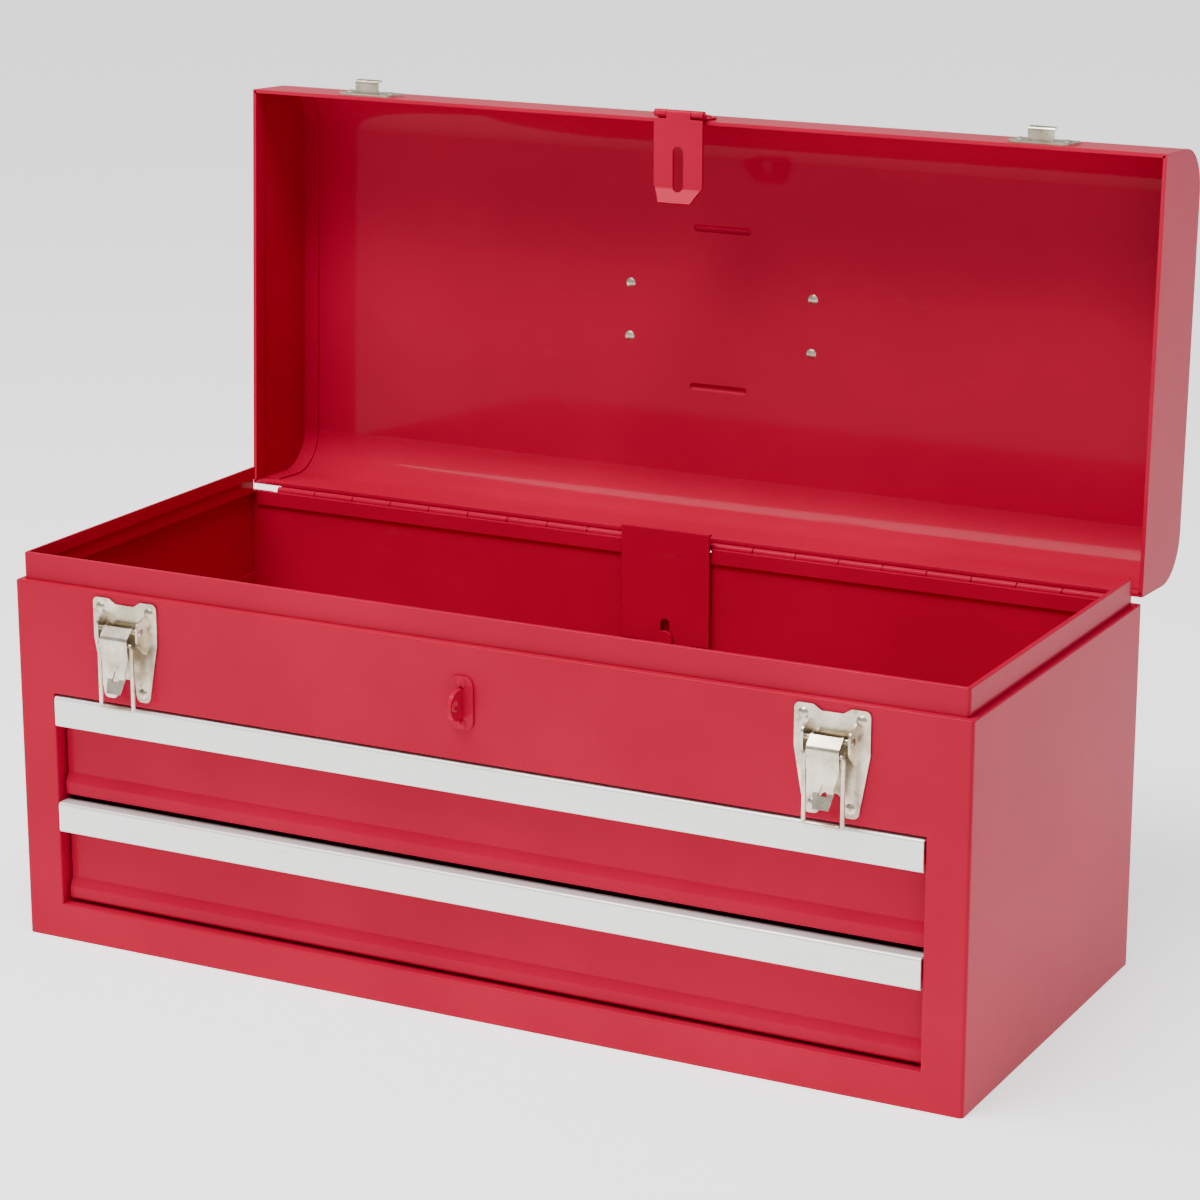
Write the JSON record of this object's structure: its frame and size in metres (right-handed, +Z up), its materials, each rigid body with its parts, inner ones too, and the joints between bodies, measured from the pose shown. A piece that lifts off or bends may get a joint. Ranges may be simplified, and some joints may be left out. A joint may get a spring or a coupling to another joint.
{
  "type": "portable toolbox with tray and drawers",
  "caption": "Red enamelled steel toolbox with an open hinged lid, a fixed upper tray and front drawers with bright pull rails, draw latches, a hasp and a folding handle.",
  "frame": {"origin": "Centre of the underside of the case, which stands flat.", "axes": "+X to the right along the drawers, +Y from the drawers to the hinged back, +Z up"},
  "size_m": [0.524, 0.311, 0.4215],
  "materials": {
    "red_enamel": "gloss enamel on pressed steel",
    "bright_aluminium": "satin bright",
    "nickel_plate": "nickel plated",
    "zinc_steel": "zinc plated",
    "grip_plastic": "moulded grip"
  },
  "bodies": {
    "case": {"case_front": "red_enamel", "case_left_side": "red_enamel", "case_right_side": "red_enamel", "case_back": "red_enamel", "case_bottom": "red_enamel", "till_floor": "red_enamel", "runner_left_lower": "zinc_steel", "runner_left_upper": "zinc_steel", "runner_right_lower": "zinc_steel", "runner_right_upper": "zinc_steel", "hinge_leaf_case": "red_enamel", "hinge_pin": "red_enamel", "latch_base_left": "nickel_plate", "latch_base_right": "nickel_plate", "latch_pin_left": "nickel_plate", "latch_pin_right": "nickel_plate", "latch_rivets_left": "nickel_plate", "latch_rivets_right": "nickel_plate", "staple": "red_enamel", "staple_rivets": "red_enamel", "lock_bar_rivets": "red_enamel"},
    "lid": {"lid_shell": "red_enamel", "lid_left_end": "red_enamel", "lid_right_end": "red_enamel", "hinge_leaf_lid": "red_enamel", "latch_strike_left": "nickel_plate", "latch_strike_right": "nickel_plate", "strike_rivets": "nickel_plate", "hasp_leaf": "red_enamel", "hasp_pin": "red_enamel", "hasp_rivets": "red_enamel", "handle_bracket_left": "nickel_plate", "handle_bracket_right": "nickel_plate", "handle_rivets": "nickel_plate"},
    "hasp": {"hasp_plate": "red_enamel"},
    "handle": {"handle_bail": "nickel_plate", "handle_grip": "grip_plastic"},
    "lever_left": {"latch_lever_left": "nickel_plate"},
    "lever_right": {"latch_lever_right": "nickel_plate"},
    "bail_left": {"latch_bail_left": "nickel_plate"},
    "bail_right": {"latch_bail_right": "nickel_plate"},
    "drawer_upper": {"drawer_pan_upper": "red_enamel", "drawer_front_upper": "red_enamel", "drawer_trim_upper": "bright_aluminium", "drawer_catch_upper": "zinc_steel"},
    "drawer_lower": {"drawer_pan_lower": "red_enamel", "drawer_front_lower": "red_enamel", "drawer_trim_lower": "bright_aluminium", "drawer_catch_lower": "zinc_steel"},
    "lock_bar": {"drawer_lock_bar": "red_enamel"}
  },
  "joints": [
    {"name": "lid_hinge", "type": "hinge", "parent": "case", "child": "lid", "pos_m": [0, 0.11195, 0.1913], "axis": [1, 0, 0], "range_deg": [0, 92.5]},
    {"name": "hasp_swing", "type": "hinge", "parent": "lid", "child": "hasp", "pos_m": [0, 0.12029, 0.4168], "axis": [-1, 0, 0], "range_deg": [0, 112]},
    {"name": "handle_hinge", "type": "hinge", "parent": "lid", "child": "handle", "pos_m": [0, 0.1776, 0.30099], "axis": [1, 0, 0], "range_deg": [0, 172]},
    {"name": "lock_bar_slide", "type": "slide", "parent": "case", "child": "lock_bar", "axis": [0, 0, -1], "range_m": [0, 0.0085]},
    {"name": "drawer_upper_slide", "type": "slide", "parent": "case", "child": "drawer_upper", "axis": [0, -1, 0], "range_m": [0, 0.15]},
    {"name": "drawer_lower_slide", "type": "slide", "parent": "case", "child": "drawer_lower", "axis": [0, -1, 0], "range_m": [0, 0.15]},
    {"name": "lever_left_hinge", "type": "hinge", "parent": "case", "child": "lever_left", "pos_m": [-0.194, -0.1155, 0.174], "axis": [1, 0, 0], "range_deg": [-115, 0]},
    {"name": "bail_left_hinge", "type": "hinge", "parent": "lever_left", "child": "bail_left", "pos_m": [-0.194, -0.1205, 0.1682], "axis": [-1, 0, 0], "range_deg": [-6, 190.4]},
    {"name": "lever_right_hinge", "type": "hinge", "parent": "case", "child": "lever_right", "pos_m": [0.194, -0.1155, 0.174], "axis": [1, 0, 0], "range_deg": [-115, 0]},
    {"name": "bail_right_hinge", "type": "hinge", "parent": "lever_right", "child": "bail_right", "pos_m": [0.194, -0.1205, 0.1682], "axis": [-1, 0, 0], "range_deg": [-6, 190.4]}
  ],
  "couplings": [
    {"joint": "hasp_swing", "follows": "lid_hinge", "ratio": 1.173},
    {"joint": "lock_bar_slide", "follows": "lid_hinge", "m_per_rad": 0.005265}
  ]
}
